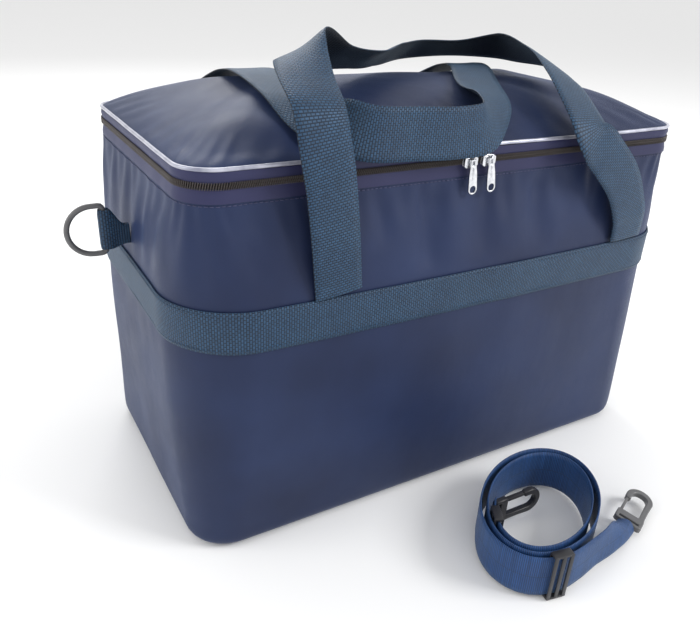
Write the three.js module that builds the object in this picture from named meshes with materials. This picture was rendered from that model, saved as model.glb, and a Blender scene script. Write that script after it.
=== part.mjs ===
// Insulated cooler bag with a zipped lid, two webbing handles, two D-rings and a loose shoulder strap.
// Millimetres. +Z is up, +X runs along the bag's width, and the front faces -Y.
// The origin is on the floor, under the middle of the bag.

import * as THREE from 'three';

// ---- Driving dimensions -------------------------------------------------------------------

const WIDTH = 430;             // outside width at the piping
const DEPTH = 227;             // outside depth at the piping
const PIPING_HEIGHT = 286;     // floor to the piping's centre line
const WAIST_BULGE = 9;         // how far each wall stands out at the waist band
const FOOT_BULGE = 7;          // how far each wall stands out near the floor
const LID_RISE = 33;           // crest of the lid above the piping

const FABRIC = 1.5;            // outer fabric with its backing
const FOAM = 6;                // insulating foam
const LINER = 0.8;             // waterproof liner
const GAP = 0.3;               // clearance between touching pieces

const BAND_WIDTH = 30;         // waist band and D-ring tabs
const BAND_LOW = 167;          // height of the waist band's lower edge
const HANDLE_WIDTH = 35;       // handles and shoulder strap
const WEBBING = 1.6;           // thickness of all webbing
const PIPING_RADIUS = 1.7;

const SEAM_HEIGHT = PIPING_HEIGHT - 18.4;      // top edge of the body's outer fabric
const ZIP_HEIGHT = PIPING_HEIGHT - 9.8;        // middle of the zip's teeth
const TEETH_HALF = 2.6;                        // half the height of the closed teeth
const TAPE = 1;                                // zip tape thickness
const BASE_THICKNESS = 2;
const BAND_HIGH = BAND_LOW + BAND_WIDTH;

// ---- Solids from rows of points -----------------------------------------------------------

// A closed body from rows of points. Every row is a closed loop with the same number of points.
// With joined true the last row meets the first, otherwise a fan closes each end.
function solidFromRows(rows, joined = false) {
  const count = rows[0].length;
  const points = rows.flat().map((p) => [...p]);
  const faces = [];
  const last = joined ? rows.length : rows.length - 1;
  for (let i = 0; i < last; i += 1) {
    const low = i * count;
    const high = ((i + 1) % rows.length) * count;
    for (let j = 0; j < count; j += 1) {
      const next = (j + 1) % count;
      faces.push([low + j, low + next, high + next], [low + j, high + next, high + j]);
    }
  }
  if (!joined) {
    for (const [start, flipped] of [[0, true], [(rows.length - 1) * count, false]]) {
      const ring = points.slice(start, start + count);
      const middle = [0, 1, 2].map((k) => ring.reduce((sum, p) => sum + p[k], 0) / count);
      points.push(middle);
      for (let j = 0; j < count; j += 1) {
        const face = [start + j, start + ((j + 1) % count), points.length - 1];
        faces.push(flipped ? face.reverse() : face);
      }
    }
  }
  if (signedVolume(points, faces) < 0) {
    faces.forEach((face) => face.reverse());
  }
  const geometry = new THREE.BufferGeometry();
  geometry.setAttribute('position', new THREE.Float32BufferAttribute(points.flat(), 3));
  geometry.setIndex(faces.flat());
  geometry.computeVertexNormals();
  return geometry;
}

function signedVolume(points, faces) {
  let total = 0;
  for (const [a, b, c] of faces) {
    const [p, q, r] = [points[a], points[b], points[c]];
    total += p[0] * (q[1] * r[2] - q[2] * r[1])
      - p[1] * (q[0] * r[2] - q[2] * r[0])
      + p[2] * (q[0] * r[1] - q[1] * r[0]);
  }
  return total / 6;
}

const object = new THREE.Group();

function add(name, geometry, colour, roughness = 0.8, metalness = 0) {
  const material = new THREE.MeshStandardMaterial({ color: colour, roughness, metalness });
  const mesh = new THREE.Mesh(geometry, material);
  mesh.name = name;
  object.add(mesh);
  return mesh;
}

const NAVY = '#2c3358';
const WEBBING_BLUE = '#1f3f63';
const STRAP_BLUE = '#2b5288';
const LINER_SILVER = '#c9ccd0';
const FOAM_WHITE = '#e8e8e4';
const TEETH_BROWN = '#3b3532';
const PIPING_SILVER = '#c8c8d2';
const NICKEL = '#d0d2d6';
const PLASTIC_BLACK = '#232326';
const PLASTIC_GREY = '#74747c';

// ---- The bag's outline --------------------------------------------------------------------

// Half sizes and corner radius of the outer fabric at some heights, from the floor up.
const WALL_LEVELS = [
  { z: 0, grow: FOOT_BULGE - 4, radius: 30 },
  { z: 14, grow: FOOT_BULGE, radius: 34 },
  { z: 90, grow: WAIST_BULGE, radius: 46 },
  { z: BAND_LOW - 1, grow: WAIST_BULGE, radius: 52 },
  { z: BAND_HIGH + 1, grow: WAIST_BULGE, radius: 52 },
  { z: 236, grow: 5, radius: 40 },
  { z: SEAM_HEIGHT, grow: 0, radius: 26 },
  { z: PIPING_HEIGHT + 80, grow: 0, radius: 26 },
];

function wallAt(z) {
  const top = WALL_LEVELS.findIndex((level) => level.z >= z);
  const high = WALL_LEVELS[Math.max(top, 1)];
  const low = WALL_LEVELS[Math.max(top, 1) - 1];
  const share = (z - low.z) / (high.z - low.z);
  const grow = low.grow + (high.grow - low.grow) * share;
  return {
    halfWidth: WIDTH / 2 + grow,
    halfDepth: DEPTH / 2 + grow,
    radius: low.radius + (high.radius - low.radius) * share,
  };
}

const CORNER_STEPS = 5;

// The rounded rectangle at height z, moved inwards by inset. It starts at the rear of the right side
// and runs round the front: right side, front, left side, rear.
function outline(z, inset = 0, shapeHeight = z) {
  const wall = wallAt(shapeHeight);
  const radius = Math.max(wall.radius - inset, 1);
  const x = wall.halfWidth - inset - radius;
  const y = wall.halfDepth - inset - radius;
  const corners = [[x, y, 90], [x, -y, 0], [-x, -y, -90], [-x, y, -180]];
  const points = [];
  for (const [cx, cy, from] of corners) {
    for (let step = 0; step <= CORNER_STEPS; step += 1) {
      const angle = THREE.MathUtils.degToRad(from - (90 * step) / CORNER_STEPS);
      points.push([cx + radius * Math.cos(angle), cy + radius * Math.sin(angle), z]);
    }
  }
  return points;
}

// A wall all the way round, between two insets, from height low to height high.
function ringWall(low, high, outerInset, innerInset) {
  const between = WALL_LEVELS.map((level) => level.z).filter((z) => z > low && z < high);
  const heights = [low, ...between, high];
  const outer = heights.map((z) => outline(z, outerInset));
  const inner = heights.map((z) => outline(z, innerInset)).reverse();
  return solidFromRows([...outer, ...inner], true);
}

function slab(low, high, inset, shapeHeight) {
  return solidFromRows([outline(low, inset, shapeHeight), outline(high, inset, shapeHeight)]);
}

// A strip that follows part of the outline, between two insets and two heights.
function strip(low, high, outerInset, innerInset, from, to) {
  const corners = [
    outline(low, outerInset), outline(high, outerInset),
    outline(high, innerInset), outline(low, innerInset),
  ];
  const rows = [];
  for (let i = from; i <= to; i += 1) {
    rows.push(corners.map((line) => line[i % line.length]));
  }
  return solidFromRows(rows);
}

// ---- Body ---------------------------------------------------------------------------------

add('outer_base', slab(0, BASE_THICKNESS, 0, 0), NAVY);
const wallLow = BASE_THICKNESS + GAP;
add('outer_wall', ringWall(wallLow, SEAM_HEIGHT, 0, FABRIC), NAVY);

const foamInset = FABRIC + GAP;
const foamFloor = wallLow + FOAM;
add('foam_base', slab(wallLow, foamFloor, foamInset + 1, 0), FOAM_WHITE, 0.9);

const FOAM_TOP = SEAM_HEIGHT - 4;
const FOAM_FRONT_HALF = 165;
const FOAM_SIDE_HALF = 60;

// A flat sheet of foam against one wall. side is +1 or -1, and along is the axis that it runs along.
function foamPanel(side, along, half) {
  const low = foamFloor + GAP;
  const between = WALL_LEVELS.map((level) => level.z).filter((z) => z > low && z < FOAM_TOP);
  const rows = [low, ...between, FOAM_TOP].map((z) => {
    const wall = wallAt(z);
    const outer = side * ((along === 'x' ? wall.halfDepth : wall.halfWidth) - foamInset);
    const inner = outer - side * FOAM;
    const square = [[-half, outer], [half, outer], [half, inner], [-half, inner]];
    return square.map(([u, v]) => (along === 'x' ? [u, v, z] : [v, u, z]));
  });
  return solidFromRows(rows);
}

add('foam_front', foamPanel(-1, 'x', FOAM_FRONT_HALF), FOAM_WHITE, 0.9);
add('foam_rear', foamPanel(1, 'x', FOAM_FRONT_HALF), FOAM_WHITE, 0.9);
add('foam_left', foamPanel(-1, 'y', FOAM_SIDE_HALF), FOAM_WHITE, 0.9);
add('foam_right', foamPanel(1, 'y', FOAM_SIDE_HALF), FOAM_WHITE, 0.9);

const linerInset = foamInset + FOAM + GAP;
const linerFloor = foamFloor + GAP;
add('liner_wall', ringWall(linerFloor, FOAM_TOP, linerInset, linerInset + LINER), LINER_SILVER, 0.35);
add('liner_base', slab(linerFloor, linerFloor + LINER, linerInset + LINER + 1, 0), LINER_SILVER, 0.35);
add(
  'rim_binding',
  ringWall(FOAM_TOP + GAP, SEAM_HEIGHT, foamInset, linerInset + LINER),
  PLASTIC_BLACK,
);
add('waist_band', ringWall(BAND_LOW, BAND_HIGH, -GAP - WEBBING, -GAP), WEBBING_BLUE);

// ---- Zip ----------------------------------------------------------------------------------

// The zip runs along the right side, the front and the left side. The fabric hinge closes the rear.
const ZIP_FROM = CORNER_STEPS;
const ZIP_TO = 3 * (CORNER_STEPS + 1);
const OUTLINE_COUNT = 4 * (CORNER_STEPS + 1);
const tapeInset = 0.6;
const teethLow = ZIP_HEIGHT - TEETH_HALF;
const teethHigh = ZIP_HEIGHT + TEETH_HALF;
const tapeTop = PIPING_HEIGHT - PIPING_RADIUS - GAP;

function zipStrip(low, high, outerInset, thickness) {
  return strip(low, high, outerInset, outerInset + thickness, ZIP_FROM, ZIP_TO);
}

add('zip_tape_lower', zipStrip(SEAM_HEIGHT + GAP, teethLow, tapeInset, TAPE), NAVY);
add('zip_teeth_lower', zipStrip(teethLow + GAP, ZIP_HEIGHT - GAP / 2, 0, 2.2), TEETH_BROWN, 0.45);
add('zip_teeth_upper', zipStrip(ZIP_HEIGHT + GAP / 2, teethHigh - GAP, 0, 2.2), TEETH_BROWN, 0.45);
add('zip_tape_upper', zipStrip(teethHigh, tapeTop, tapeInset, TAPE), NAVY);
add(
  'rear_fabric_hinge',
  strip(SEAM_HEIGHT + GAP, tapeTop, tapeInset, tapeInset + TAPE, ZIP_TO + 1, OUTLINE_COUNT + ZIP_FROM - 1),
  NAVY,
);

// ---- Lid ----------------------------------------------------------------------------------

const LID_INSETS = [2.1, 7, 15, 28, 48, 78];
const CREST_INSET = 108;                       // where the lid stops rising

function lidHeight(inset) {
  const share = Math.min(inset / CREST_INSET, 1);
  return PIPING_HEIGHT + 0.8 + LID_RISE * Math.sin((Math.PI / 2) * share) ** 0.85;
}

// One layer of the lid: from drop to drop + thickness below the lid's outer surface.
function lidLayer(drop, thickness, firstInset) {
  const insets = LID_INSETS.filter((inset) => inset >= firstInset);
  const top = insets.map((inset) => outline(lidHeight(inset) - drop, inset, PIPING_HEIGHT));
  const low = insets.map((inset) => outline(lidHeight(inset) - drop - thickness, inset, PIPING_HEIGHT));
  return solidFromRows([...low.reverse(), ...top]);
}

const SLOPE = 1.25;                            // keeps a layer's thickness on the lid's slopes
add('lid_cover', lidLayer(0, FABRIC * SLOPE, 0), NAVY);
add('lid_foam', lidLayer((FABRIC + GAP) * SLOPE, FOAM * SLOPE, 5), FOAM_WHITE, 0.9);
add('lid_liner', lidLayer((FABRIC + FOAM + 2 * GAP) * SLOPE, LINER * SLOPE, 10), LINER_SILVER, 0.35);
const bindingInset = tapeInset + TAPE + GAP;
const lidBinding = [
  outline(teethHigh, bindingInset, PIPING_HEIGHT), outline(tapeTop, bindingInset, PIPING_HEIGHT),
  outline(tapeTop, bindingInset + TAPE, PIPING_HEIGHT), outline(teethHigh, bindingInset + TAPE, PIPING_HEIGHT),
];
add('lid_binding', solidFromRows(lidBinding, true), PLASTIC_BLACK);

const ROUND_SIDES = 8;
const pipingRows = Array.from({ length: ROUND_SIDES }, (_, side) => {
  const angle = (2 * Math.PI * side) / ROUND_SIDES;
  const height = PIPING_HEIGHT + PIPING_RADIUS * Math.sin(angle);
  return outline(height, PIPING_RADIUS * Math.cos(angle), PIPING_HEIGHT);
});
add('lid_piping', solidFromRows(pipingRows, true), PIPING_SILVER, 0.3);

// ---- Zip sliders --------------------------------------------------------------------------

const SLIDER = { length: 12, depth: 4.6, height: 9 };
const PULL = { width: 7.5, length: 25, thickness: 1.6, hole: 2.5 };
const teethFace = -DEPTH / 2 - GAP;

function boxAt(width, depth, height, x, y, z) {
  const geometry = new THREE.BoxGeometry(width, depth, height);
  geometry.translate(x, y, z);
  return geometry;
}

function pullTab(x) {
  const half = PULL.width / 2;
  const shape = new THREE.Shape();
  shape.moveTo(-half * 0.7, 0);
  shape.lineTo(-half, -PULL.length + half);
  shape.absarc(0, -PULL.length + half, half, Math.PI, 2 * Math.PI, false);
  shape.lineTo(half * 0.7, 0);
  shape.closePath();
  const hole = new THREE.Path();
  hole.absarc(0, -PULL.length + half, PULL.hole, 0, 2 * Math.PI, true);
  shape.holes.push(hole);
  const geometry = new THREE.ExtrudeGeometry(shape, {
    depth: PULL.thickness, bevelEnabled: false, curveSegments: 8,
  });
  geometry.rotateX(Math.PI / 2);
  geometry.translate(x, teethFace - SLIDER.depth - GAP, ZIP_HEIGHT + 2);
  return geometry;
}

const SLIDERS = { left: -12, right: 4 };
for (const [side, x] of Object.entries(SLIDERS)) {
  const middle = teethFace - SLIDER.depth / 2;
  add(`zip_slider_${side}`, boxAt(SLIDER.length, SLIDER.depth, SLIDER.height, x, middle, ZIP_HEIGHT),
    NICKEL, 0.25, 1);
  add(`zip_pull_${side}`, pullTab(x), NICKEL, 0.25, 1);
}

// ---- Webbing ------------------------------------------------------------------------------

// A flat strip along a list of stations. Each station is a point on the strip's centre line and the
// direction of its width. The spacing between stations is smoothed by a curve through them.
function webbing(stations, width, steps) {
  const centres = new THREE.CatmullRomCurve3(stations.map(([x, y, z]) => new THREE.Vector3(x, y, z)));
  const widths = new THREE.CatmullRomCurve3(stations.map((s) => new THREE.Vector3(s[3], s[4], s[5])));
  const rows = [];
  for (let i = 0; i <= steps; i += 1) {
    const centre = centres.getPoint(i / steps);
    const along = centres.getTangent(i / steps);
    const across = widths.getPoint(i / steps);
    across.addScaledVector(along, -across.dot(along)).normalize().multiplyScalar(width / 2);
    const out = along.clone().cross(across).normalize().multiplyScalar(WEBBING / 2);
    rows.push([[1, 1], [1, -1], [-1, -1], [-1, 1]].map(([a, b]) => (
      centre.clone().addScaledVector(across, a).addScaledVector(out, b).toArray()
    )));
  }
  return solidFromRows(rows);
}

// Front handle: up the front wall from the waist band, back over the lid, across and down again.
const FRONT_HANDLE = [
  [-119, -127, 199, 1, 0, 0],
  [-124, -129.5, 237, 1, 0, 0],
  [-129, -130, 273, 1, 0, 0],
  [-134, -130.5, 297, 1, 0, 0],
  [-136, -124, 320, 1, 0, 0],
  [-132, -98, 334, 1, 0, 0.1],
  [-122, -70, 344.5, 0.9, -0.2, 0.4],
  [-104, -52, 344.5, 0.4, -0.5, 0.75],
  [-80, -40, 336, 0.1, -0.8, 0.5],
  [-40, -18, 332, 0, -0.9, 0.4],
  [0, 14, 331, 0, -0.85, 0.5],
  [40, 36, 332, 0, -0.85, 0.5],
  [84, 36, 333, -0.1, -0.85, 0.45],
  [116, 12, 336, -0.5, -0.6, 0.6],
  [113, -39, 334, -0.85, -0.3, 0.4],
  [98, -85, 323, -0.95, 0, 0.25],
  [91, -118, 303, -1, 0, 0.1],
  [94, -129, 288.5, -1, 0, 0],
  [112, -131, 272, -1, 0, 0],
  [135, -131, 250, -1, 0, 0],
  [151, -130, 224, -1, 0, 0],
  [156, -128.2, 211, -1, 0, 0],
  [157, -127, 199, -1, 0, 0],
];
add('front_handle', webbing(FRONT_HANDLE, HANDLE_WIDTH, 48), WEBBING_BLUE);

// Rear handle: over the lid from its rear edge, hanging forward so that the grip stands at the front.
const REAR_HANDLE = [
  [108, 116.5, 293, 1, 0, 0],
  [104, 92, 304, 1, 0, 0],
  [92, 45, 318, 1, 0, 0],
  [72, 0, 322.5, 1, 0, 0],
  [42, -50, 317, 1, 0, 0],
  [18, -96, 312, 0.95, 0.1, -0.3],
  [-2, -120.5, 301, 0.4, -0.1, -0.9],
  [-28, -124, 298.5, 0, 0, -1],
  [-62, -122.5, 299.5, 0, 0, -1],
  [-96, -121.5, 301.5, -0.1, 0, -1],
  [-116, -107, 306.5, -0.7, 0, -0.7],
  [-122, -84, 307.5, -0.95, 0, -0.2],
  [-124, -50, 317, -1, 0, 0],
  [-122, 0, 322.5, -1, 0, 0],
  [-118, 45, 318, -1, 0, 0],
  [-116, 92, 304, -1, 0, 0],
  [-116, 116.5, 293, -1, 0, 0],
];
add('rear_handle', webbing(REAR_HANDLE, HANDLE_WIDTH, 44), WEBBING_BLUE);

const LEG_LOW = BAND_HIGH + 2;
const LEG_HIGH = PIPING_HEIGHT - 8;
for (const [side, x] of [['left', -116], ['right', 108]]) {
  const leg = [
    [x, DEPTH / 2 + WAIST_BULGE + WEBBING + GAP, LEG_LOW, 1, 0, 0],
    [x, DEPTH / 2 + WAIST_BULGE + WEBBING, 250, 1, 0, 0],
    [x, DEPTH / 2 + WAIST_BULGE, LEG_HIGH, 1, 0, 0],
  ];
  add(`rear_handle_leg_${side}`, webbing(leg, HANDLE_WIDTH, 4), WEBBING_BLUE);
}

// ---- D-rings and their tabs ---------------------------------------------------------------

const RING_BAR_X = WIDTH / 2 + WAIST_BULGE + 16;
const RING_MIDDLE = 219;                       // height of the ring's middle
const RING_WIRE = 2;                           // wire radius
const RING_HALF = 17.5;                        // half height of the wire's centre line
const RING_STRAIGHT = 8;                       // straight length before the round end

// A round wire along a closed path in the plane y = 0.
function wireLoop(path, radius) {
  const rows = path.map(([x, z], i) => {
    const [ax, az] = path[(i + path.length - 1) % path.length];
    const [bx, bz] = path[(i + 1) % path.length];
    const length = Math.hypot(bx - ax, bz - az);
    const out = [(bz - az) / length, -(bx - ax) / length];
    return Array.from({ length: ROUND_SIDES }, (_, side) => {
      const angle = (2 * Math.PI * side) / ROUND_SIDES;
      const reach = radius * Math.cos(angle);
      return [x + out[0] * reach, radius * Math.sin(angle), z + out[1] * reach];
    });
  });
  return solidFromRows(rows, true);
}

function ringPath(direction) {
  const path = [];
  const corner = 3;
  path.push([0, -RING_HALF + corner], [0, RING_HALF - corner], [corner * 0.3, RING_HALF - corner * 0.3]);
  path.push([corner, RING_HALF], [RING_STRAIGHT, RING_HALF]);
  const steps = 10;
  for (let i = 1; i < steps; i += 1) {
    const angle = Math.PI / 2 - (Math.PI * i) / steps;
    path.push([RING_STRAIGHT + RING_HALF * Math.cos(angle), RING_HALF * Math.sin(angle)]);
  }
  path.push([RING_STRAIGHT, -RING_HALF], [corner, -RING_HALF], [corner * 0.3, -RING_HALF + corner * 0.3]);
  return path.map(([x, z]) => [direction * (RING_BAR_X + x), RING_MIDDLE + z]);
}

// The tab is one piece of webbing folded round the ring's straight bar.
function ringTab(direction) {
  const reach = RING_WIRE + GAP + WEBBING / 2;
  const root = WIDTH / 2 + WAIST_BULGE + 2;
  const line = [[root, -1.4], [RING_BAR_X - 3, -reach]];
  for (let i = 0; i <= 8; i += 1) {
    const angle = -Math.PI / 2 + (Math.PI * i) / 8;
    line.push([RING_BAR_X + reach * Math.cos(angle), reach * Math.sin(angle)]);
  }
  line.push([RING_BAR_X - 3, reach], [root, 1.4]);
  const half = BAND_WIDTH / 2 - 0.5;
  const rows = line.map(([x, y], i) => {
    const [ax, ay] = line[Math.max(i - 1, 0)];
    const [bx, by] = line[Math.min(i + 1, line.length - 1)];
    const length = Math.hypot(bx - ax, by - ay);
    const across = [(by - ay) / length, -(bx - ax) / length];
    return [[1, 1], [1, -1], [-1, -1], [-1, 1]].map(([a, b]) => [
      direction * (x + across[0] * a * (WEBBING / 2)),
      y + across[1] * a * (WEBBING / 2),
      RING_MIDDLE + b * half,
    ]);
  });
  return solidFromRows(rows);
}

for (const [side, direction] of [['left', -1], ['right', 1]]) {
  add(`d_ring_${side}`, wireLoop(ringPath(direction), RING_WIRE), PLASTIC_GREY, 0.4);
  add(`d_ring_tab_${side}`, ringTab(direction), WEBBING_BLUE);
}

// ---- Shoulder strap -----------------------------------------------------------------------

// The strap lies rolled up on the floor, standing on its edge, with one end out of the roll.
const STRAP_LOW = 3.2;                         // the buckles hold the webbing just off the floor
const STRAP_MIDDLE = STRAP_LOW + HANDLE_WIDTH / 2;
const ROLL = { x: 20, y: -212, long: 68, short: 46, lean: 0.55, start: -2.05 };
const ROLL_STEP = 5.4;                           // distance between one turn and the next
const ROLL_TURNS = 2.35;
const STEPS_PER_TURN = 22;

// The roll is an oval that shrinks as it turns, starting where the free end leaves it.
function rollPoint(turn) {
  const angle = ROLL.start - 2 * Math.PI * turn;
  const long = ROLL.long - ROLL_STEP * turn;
  const short = ROLL.short - ROLL_STEP * turn;
  const [u, v] = [long * Math.cos(angle), short * Math.sin(angle)];
  const [c, s] = [Math.cos(ROLL.lean), Math.sin(ROLL.lean)];
  return [ROLL.x + u * c - v * s, ROLL.y + u * s + v * c];
}

const TAIL = [
  [85, -244, 7.5, -0.25, 0.9, 0.25],
  [76, -247.5, 10, -0.2, 0.8, 0.5],
  [60, -253, 16, 0, 0.45, 0.9],
  [38, -259, STRAP_MIDDLE, 0, 0.05, 1],
];
const strapStations = [...TAIL];
const rollSteps = Math.round(ROLL_TURNS * STEPS_PER_TURN);
for (let i = 0; i <= rollSteps; i += 1) {
  strapStations.push([...rollPoint(i / STEPS_PER_TURN), STRAP_MIDDLE, 0, 0, 1]);
}
add('strap_webbing', webbing(strapStations, HANDLE_WIDTH, 130), STRAP_BLUE);

// A buckle is a flat frame with the webbing running through it, standing on edge with the strap.
const BUCKLE = { length: 16, height: 41, depth: 7, slot: 4.6 };
const HOOK = { width: 22, length: 46, thickness: 5, wall: 5 };

// Turns a piece made along +X, with its width upwards, to lie along the roll at one turn. A positive
// inwards angle points it into the roll.
function onRoll(geometry, turn, inwards = 0) {
  const [ax, ay] = rollPoint(turn - 0.01);
  const [bx, by] = rollPoint(turn + 0.01);
  const [x, y] = rollPoint(turn);
  geometry.rotateZ(Math.atan2(by - ay, bx - ax) - inwards);
  geometry.translate(x, y, STRAP_MIDDLE);
  return geometry;
}

function buckle() {
  const outer = [BUCKLE.depth / 2, BUCKLE.height / 2];
  const inner = [BUCKLE.slot / 2, (HANDLE_WIDTH + 1.2) / 2];
  const square = [[1, 1], [1, -1], [-1, -1], [-1, 1]];
  const loop = (x, [half, tall]) => square.map(([a, b]) => [x, a * half, b * tall]);
  const end = BUCKLE.length / 2;
  return solidFromRows([loop(-end, outer), loop(end, outer), loop(end, inner), loop(-end, inner)], true);
}

add('strap_buckle_outer', onRoll(buckle(), 0.07), PLASTIC_BLACK, 0.4);
add('strap_buckle_inner', onRoll(buckle(), 2.3), PLASTIC_BLACK, 0.4);

// A snap hook as an open C with a wide end for the webbing, flat in the XY plane along +X.
function hookBody() {
  const half = HOOK.width / 2;
  const inside = half - HOOK.wall;
  const round = HOOK.length - half;
  const shape = new THREE.Shape();
  shape.moveTo(0, -half);
  shape.lineTo(round, -half);
  shape.absarc(round, 0, half, -Math.PI / 2, Math.PI / 2, false);
  shape.lineTo(round - 6, half);
  shape.lineTo(round - 6, inside);
  shape.lineTo(round, inside);
  shape.absarc(round, 0, inside, Math.PI / 2, -Math.PI / 2, true);
  shape.lineTo(12, -inside);
  shape.lineTo(12, half);
  shape.lineTo(0, half);
  shape.closePath();
  const geometry = new THREE.ExtrudeGeometry(shape, {
    depth: HOOK.thickness, bevelEnabled: false, curveSegments: 8,
  });
  geometry.translate(0, 0, -HOOK.thickness / 2);
  return geometry;
}

// The gate is a springy tongue that closes the hook's mouth and gives inwards.
function hookGate() {
  const half = HOOK.width / 2;
  const from = 12 + GAP;
  const to = HOOK.length - half - 6 - GAP;
  return boxAt(to - from, 2.4, HOOK.thickness - 1, (from + to) / 2, half - HOOK.wall / 2, 0);
}

const HOOK_START = new THREE.Vector3(86.5, -243.4, 8);
for (const [name, make] of [['hook_outer', hookBody], ['hook_outer_gate', hookGate]]) {
  const geometry = make();
  geometry.rotateX(0.2);
  geometry.rotateZ(0.42);
  geometry.translate(HOOK_START.x, HOOK_START.y, HOOK_START.z);
  add(name, geometry, PLASTIC_GREY, 0.4);
}

const INNER_END = ROLL_TURNS + 0.022;
const HOOK_INWARDS = 0.75;
for (const [name, make] of [['hook_inner', hookBody], ['hook_inner_gate', hookGate]]) {
  const geometry = make();
  geometry.rotateX(Math.PI / 2);
  add(name, onRoll(geometry, INNER_END, HOOK_INWARDS), PLASTIC_BLACK, 0.4);
}

export default object;
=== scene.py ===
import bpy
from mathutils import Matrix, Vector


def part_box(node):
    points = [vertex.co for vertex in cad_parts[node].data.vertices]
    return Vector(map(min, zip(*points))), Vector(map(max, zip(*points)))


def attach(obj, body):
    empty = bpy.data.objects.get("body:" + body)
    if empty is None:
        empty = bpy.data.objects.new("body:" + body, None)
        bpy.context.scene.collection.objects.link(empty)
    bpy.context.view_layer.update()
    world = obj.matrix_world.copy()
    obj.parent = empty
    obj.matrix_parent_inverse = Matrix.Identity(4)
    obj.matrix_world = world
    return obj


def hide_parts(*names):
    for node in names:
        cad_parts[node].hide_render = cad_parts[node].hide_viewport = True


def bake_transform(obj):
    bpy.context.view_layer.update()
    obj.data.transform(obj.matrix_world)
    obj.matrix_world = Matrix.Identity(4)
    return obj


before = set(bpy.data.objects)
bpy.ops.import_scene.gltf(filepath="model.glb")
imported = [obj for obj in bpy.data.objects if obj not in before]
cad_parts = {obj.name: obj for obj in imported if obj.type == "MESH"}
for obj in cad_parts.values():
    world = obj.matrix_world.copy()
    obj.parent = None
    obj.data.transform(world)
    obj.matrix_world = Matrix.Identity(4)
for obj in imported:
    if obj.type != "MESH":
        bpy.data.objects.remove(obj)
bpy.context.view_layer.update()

import math

import bmesh
import bpy
import numpy as np
from mathutils import Matrix, Vector, noise

# ---- Sizes, in metres, read from the frame ------------------------------------------------

MM = 0.001
piping_low, piping_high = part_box("lid_piping")
PIPING_RADIUS = (piping_high.z - piping_low.z) / 2
PIPING_Z = (piping_high.z + piping_low.z) / 2
HALF_WIDTH = piping_high.x - PIPING_RADIUS
HALF_DEPTH = piping_high.y - PIPING_RADIUS
SEAM_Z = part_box("outer_wall")[1].z
BAND_LOW, BAND_HIGH = (corner.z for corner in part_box("waist_band"))
LINER_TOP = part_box("liner_wall")[1].z
LINER_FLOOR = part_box("liner_base")[1].z
TEETH_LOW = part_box("zip_teeth_lower")[0].z
TEETH_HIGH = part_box("zip_teeth_upper")[1].z
ZIP_Z = (TEETH_LOW + TEETH_HIGH) / 2
TAPE_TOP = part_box("zip_tape_upper")[1].z
LID_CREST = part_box("lid_cover")[1].z
HANDLE_WIDTH = 35 * MM
WEBBING = 1.6 * MM            # thickness of all webbing
WAIST_BULGE = 9 * MM          # how far the walls stand out at the waist band
FRONT_BOW = 3.5 * MM          # how far the middle of the front and rear walls bows out
OUTLINE_TOP = 0.3             # above this height the outline no longer changes

# ---- Camera, light and floor --------------------------------------------------------------

CAMERA_PLACE = (-0.3308, -0.4915, 0.3949)
CAMERA_ANGLES = (31.24, 26.65, 3.06)       # yaw, pitch and roll, in degrees
FLOOR_DROP = 0.5 * MM                      # keeps the floor just under the bag's base


def set_camera():
    """The viewpoint: in front of the bag's left end, looking down at it."""
    data = bpy.data.cameras.new("camera")
    data.sensor_width = 36
    data.lens = 36
    camera = bpy.data.objects.new("camera", data)
    bpy.context.scene.collection.objects.link(camera)
    yaw, pitch, roll = (math.radians(angle) for angle in CAMERA_ANGLES)
    turn = Matrix.Rotation(-yaw, 4, "Z") @ Matrix.Rotation(math.pi / 2 - pitch, 4, "X")
    camera.matrix_world = (
        Matrix.Translation(CAMERA_PLACE) @ turn @ Matrix.Rotation(roll, 4, "Z")
    )
    bpy.context.scene.camera = camera


def area_light(name, place, aim, size, power, colour=(1, 1, 1)):
    data = bpy.data.lights.new(name, "AREA")
    data.shape = "SQUARE"
    data.size = size
    data.energy = power
    data.color = colour
    lamp = bpy.data.objects.new(name, data)
    bpy.context.scene.collection.objects.link(lamp)
    lamp.location = place
    direction = Vector(aim) - Vector(place)
    lamp.rotation_euler = direction.to_track_quat("-Z", "Y").to_euler()


def set_stage():
    world = bpy.data.worlds.new("studio")
    bpy.context.scene.world = world
    world.use_nodes = True
    world.node_tree.nodes["Background"].inputs["Color"].default_value = (1, 1, 1, 1)
    world.node_tree.nodes["Background"].inputs["Strength"].default_value = 0.85
    bpy.context.scene.view_settings.view_transform = "Standard"
    area_light("key", (1.5, -1.5, 1.5), (0, 0, 0.15), 0.9, 34)
    area_light("fill", (-1.8, 0.2, 1.1), (0, 0, 0.15), 1.2, 12)
    area_light("back", (0.2, 1.6, 1.5), (0, 0, 0.25), 0.9, 14)
    bpy.ops.mesh.primitive_plane_add(size=80, location=(0, 0, -FLOOR_DROP))
    floor = bpy.context.object
    floor.name = "floor"
    material = bpy.data.materials.new("floor")
    material.use_nodes = True
    shader = material.node_tree.nodes["Principled BSDF"]
    shader.inputs["Base Color"].default_value = (0.93, 0.93, 0.93, 1)
    shader.inputs["Roughness"].default_value = 0.9
    floor.data.materials.append(material)


set_camera()
set_stage()

# ---- Materials ----------------------------------------------------------------------------


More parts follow.
